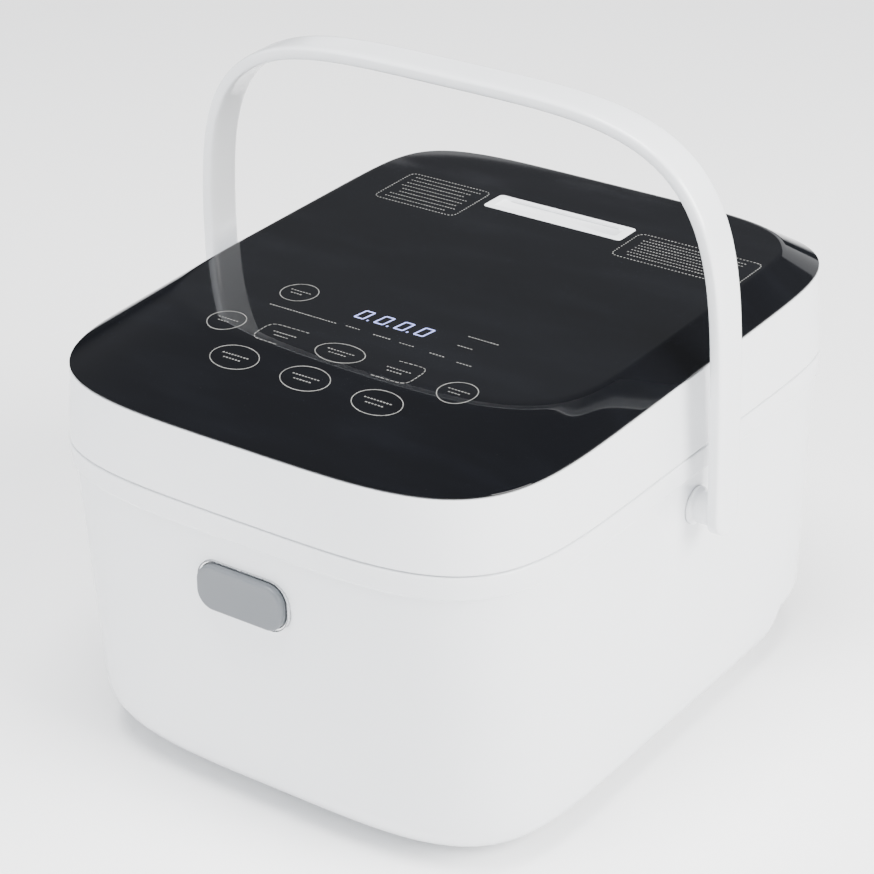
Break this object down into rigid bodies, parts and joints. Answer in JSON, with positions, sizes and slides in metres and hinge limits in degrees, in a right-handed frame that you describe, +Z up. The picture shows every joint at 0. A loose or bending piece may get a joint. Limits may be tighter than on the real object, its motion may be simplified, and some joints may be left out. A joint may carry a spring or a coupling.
{
  "type": "rice cooker",
  "caption": "Rounded-rectangular rice cooker with a hinged touch-panel lid, inner pot, steam vent, front release button and a folding carry handle.",
  "frame": {"origin": "middle of the footprint, on the surface that the feet stand on", "axes": "+Z up, -Y out of the front face with the release button, +X to the right when looking at the back from the front"},
  "size_m": [0.2984, 0.3358, 0.3252],
  "materials": {
    "white_gloss_plastic": "gloss",
    "black_gloss_panel": "polished",
    "grey_button_plastic": "satin",
    "silver_trim": "satin",
    "inner_grey_plastic": "satin",
    "dark_plastic": "matte",
    "steel": "brushed",
    "aluminium": "satin",
    "pot_coating": "non-stick coating",
    "copper_wire": "enamelled",
    "ferrite": "matte",
    "circuit_board": "satin",
    "rubber": "matte",
    "silicone": "matte"
  },
  "bodies": {
    "base": {"body_shell": "white_gloss_plastic", "handle_boss_left": "white_gloss_plastic", "handle_boss_right": "white_gloss_plastic", "hinge_housing": "white_gloss_plastic", "button_bezel": "silver_trim", "base_plate": "inner_grey_plastic", "pot_deck": "inner_grey_plastic", "coil_carrier": "dark_plastic", "sensor_housing": "dark_plastic", "fan_frame": "dark_plastic", "power_inlet": "dark_plastic", "inlet_pin_left": "steel", "inlet_pin_middle": "steel", "inlet_pin_right": "steel", "latch_bracket": "steel", "latch_pin": "steel", "latch_spring": "steel", "hinge_pin": "steel", "hinge_spring_left": "steel", "hinge_spring_right": "steel", "base_screw_front_left": "steel", "base_screw_front_right": "steel", "base_screw_rear_left": "steel", "base_screw_rear_right": "steel", "heat_sink": "aluminium", "inner_pot": "pot_coating", "inner_coil": "copper_wire", "outer_coil": "copper_wire", "ferrite_bar_1": "ferrite", "ferrite_bar_2": "ferrite", "ferrite_bar_3": "ferrite", "ferrite_bar_4": "ferrite", "power_board": "circuit_board", "foot_front_left": "rubber", "foot_front_right": "rubber", "foot_rear_left": "rubber", "foot_rear_right": "rubber"},
    "lid": {"lid_frame": "white_gloss_plastic", "touch_panel": "black_gloss_panel", "lid_liner": "inner_grey_plastic", "inner_lid_plate": "aluminium", "lid_gasket": "silicone", "steam_duct": "inner_grey_plastic", "control_board": "circuit_board", "display_module": "dark_plastic", "lid_sensor": "steel", "latch_striker": "steel", "hinge_arm_left": "steel", "hinge_arm_right": "steel"},
    "vent_cassette": {"vent_cover": "white_gloss_plastic", "vent_cup": "inner_grey_plastic"},
    "handle": {"carry_handle": "white_gloss_plastic"},
    "button": {"release_button": "grey_button_plastic"},
    "latch": {"latch_lever": "steel"},
    "fan": {"fan_rotor": "dark_plastic"},
    "thermostat": {"sensor_cap": "aluminium", "sensor_spring": "steel"}
  },
  "joints": [
    {"name": "lid_hinge", "type": "hinge", "parent": "base", "child": "lid", "pos_m": [0, 0.142, 0.192], "axis": [-1, 0, 0], "range_deg": [0, 60]},
    {"name": "handle_swing", "type": "hinge", "parent": "base", "child": "handle", "pos_m": [0, 0.008, 0.135], "axis": [-1, 0, 0], "range_deg": [0, 96]},
    {"name": "vent_lift", "type": "slide", "parent": "lid", "child": "vent_cassette", "axis": [0, 0, 1], "range_m": [0, 0.04]},
    {"name": "button_press", "type": "slide", "parent": "base", "child": "button", "axis": [0, 1, 0], "range_m": [0, 0.0025], "stiffness_N_per_m": 800},
    {"name": "latch_turn", "type": "hinge", "parent": "base", "child": "latch", "pos_m": [0, -0.149, 0.141], "axis": [1, 0, 0], "range_deg": [0, 9]},
    {"name": "thermostat_press", "type": "slide", "parent": "base", "child": "thermostat", "axis": [0, 0, 1], "range_m": [-0.002, 0], "stiffness_N_per_m": 600, "deforming": ["sensor_spring"]},
    {"name": "fan_spin", "type": "hinge", "parent": "base", "child": "fan", "pos_m": [-0.052, 0.125, 0.03], "axis": [0, 0, 1], "continuous": true}
  ],
  "couplings": [
    {"joint": "handle_swing", "follows": "lid_hinge", "ratio": 1.6},
    {"joint": "latch_turn", "follows": "button_press", "rad_per_m": 62.5}
  ]
}
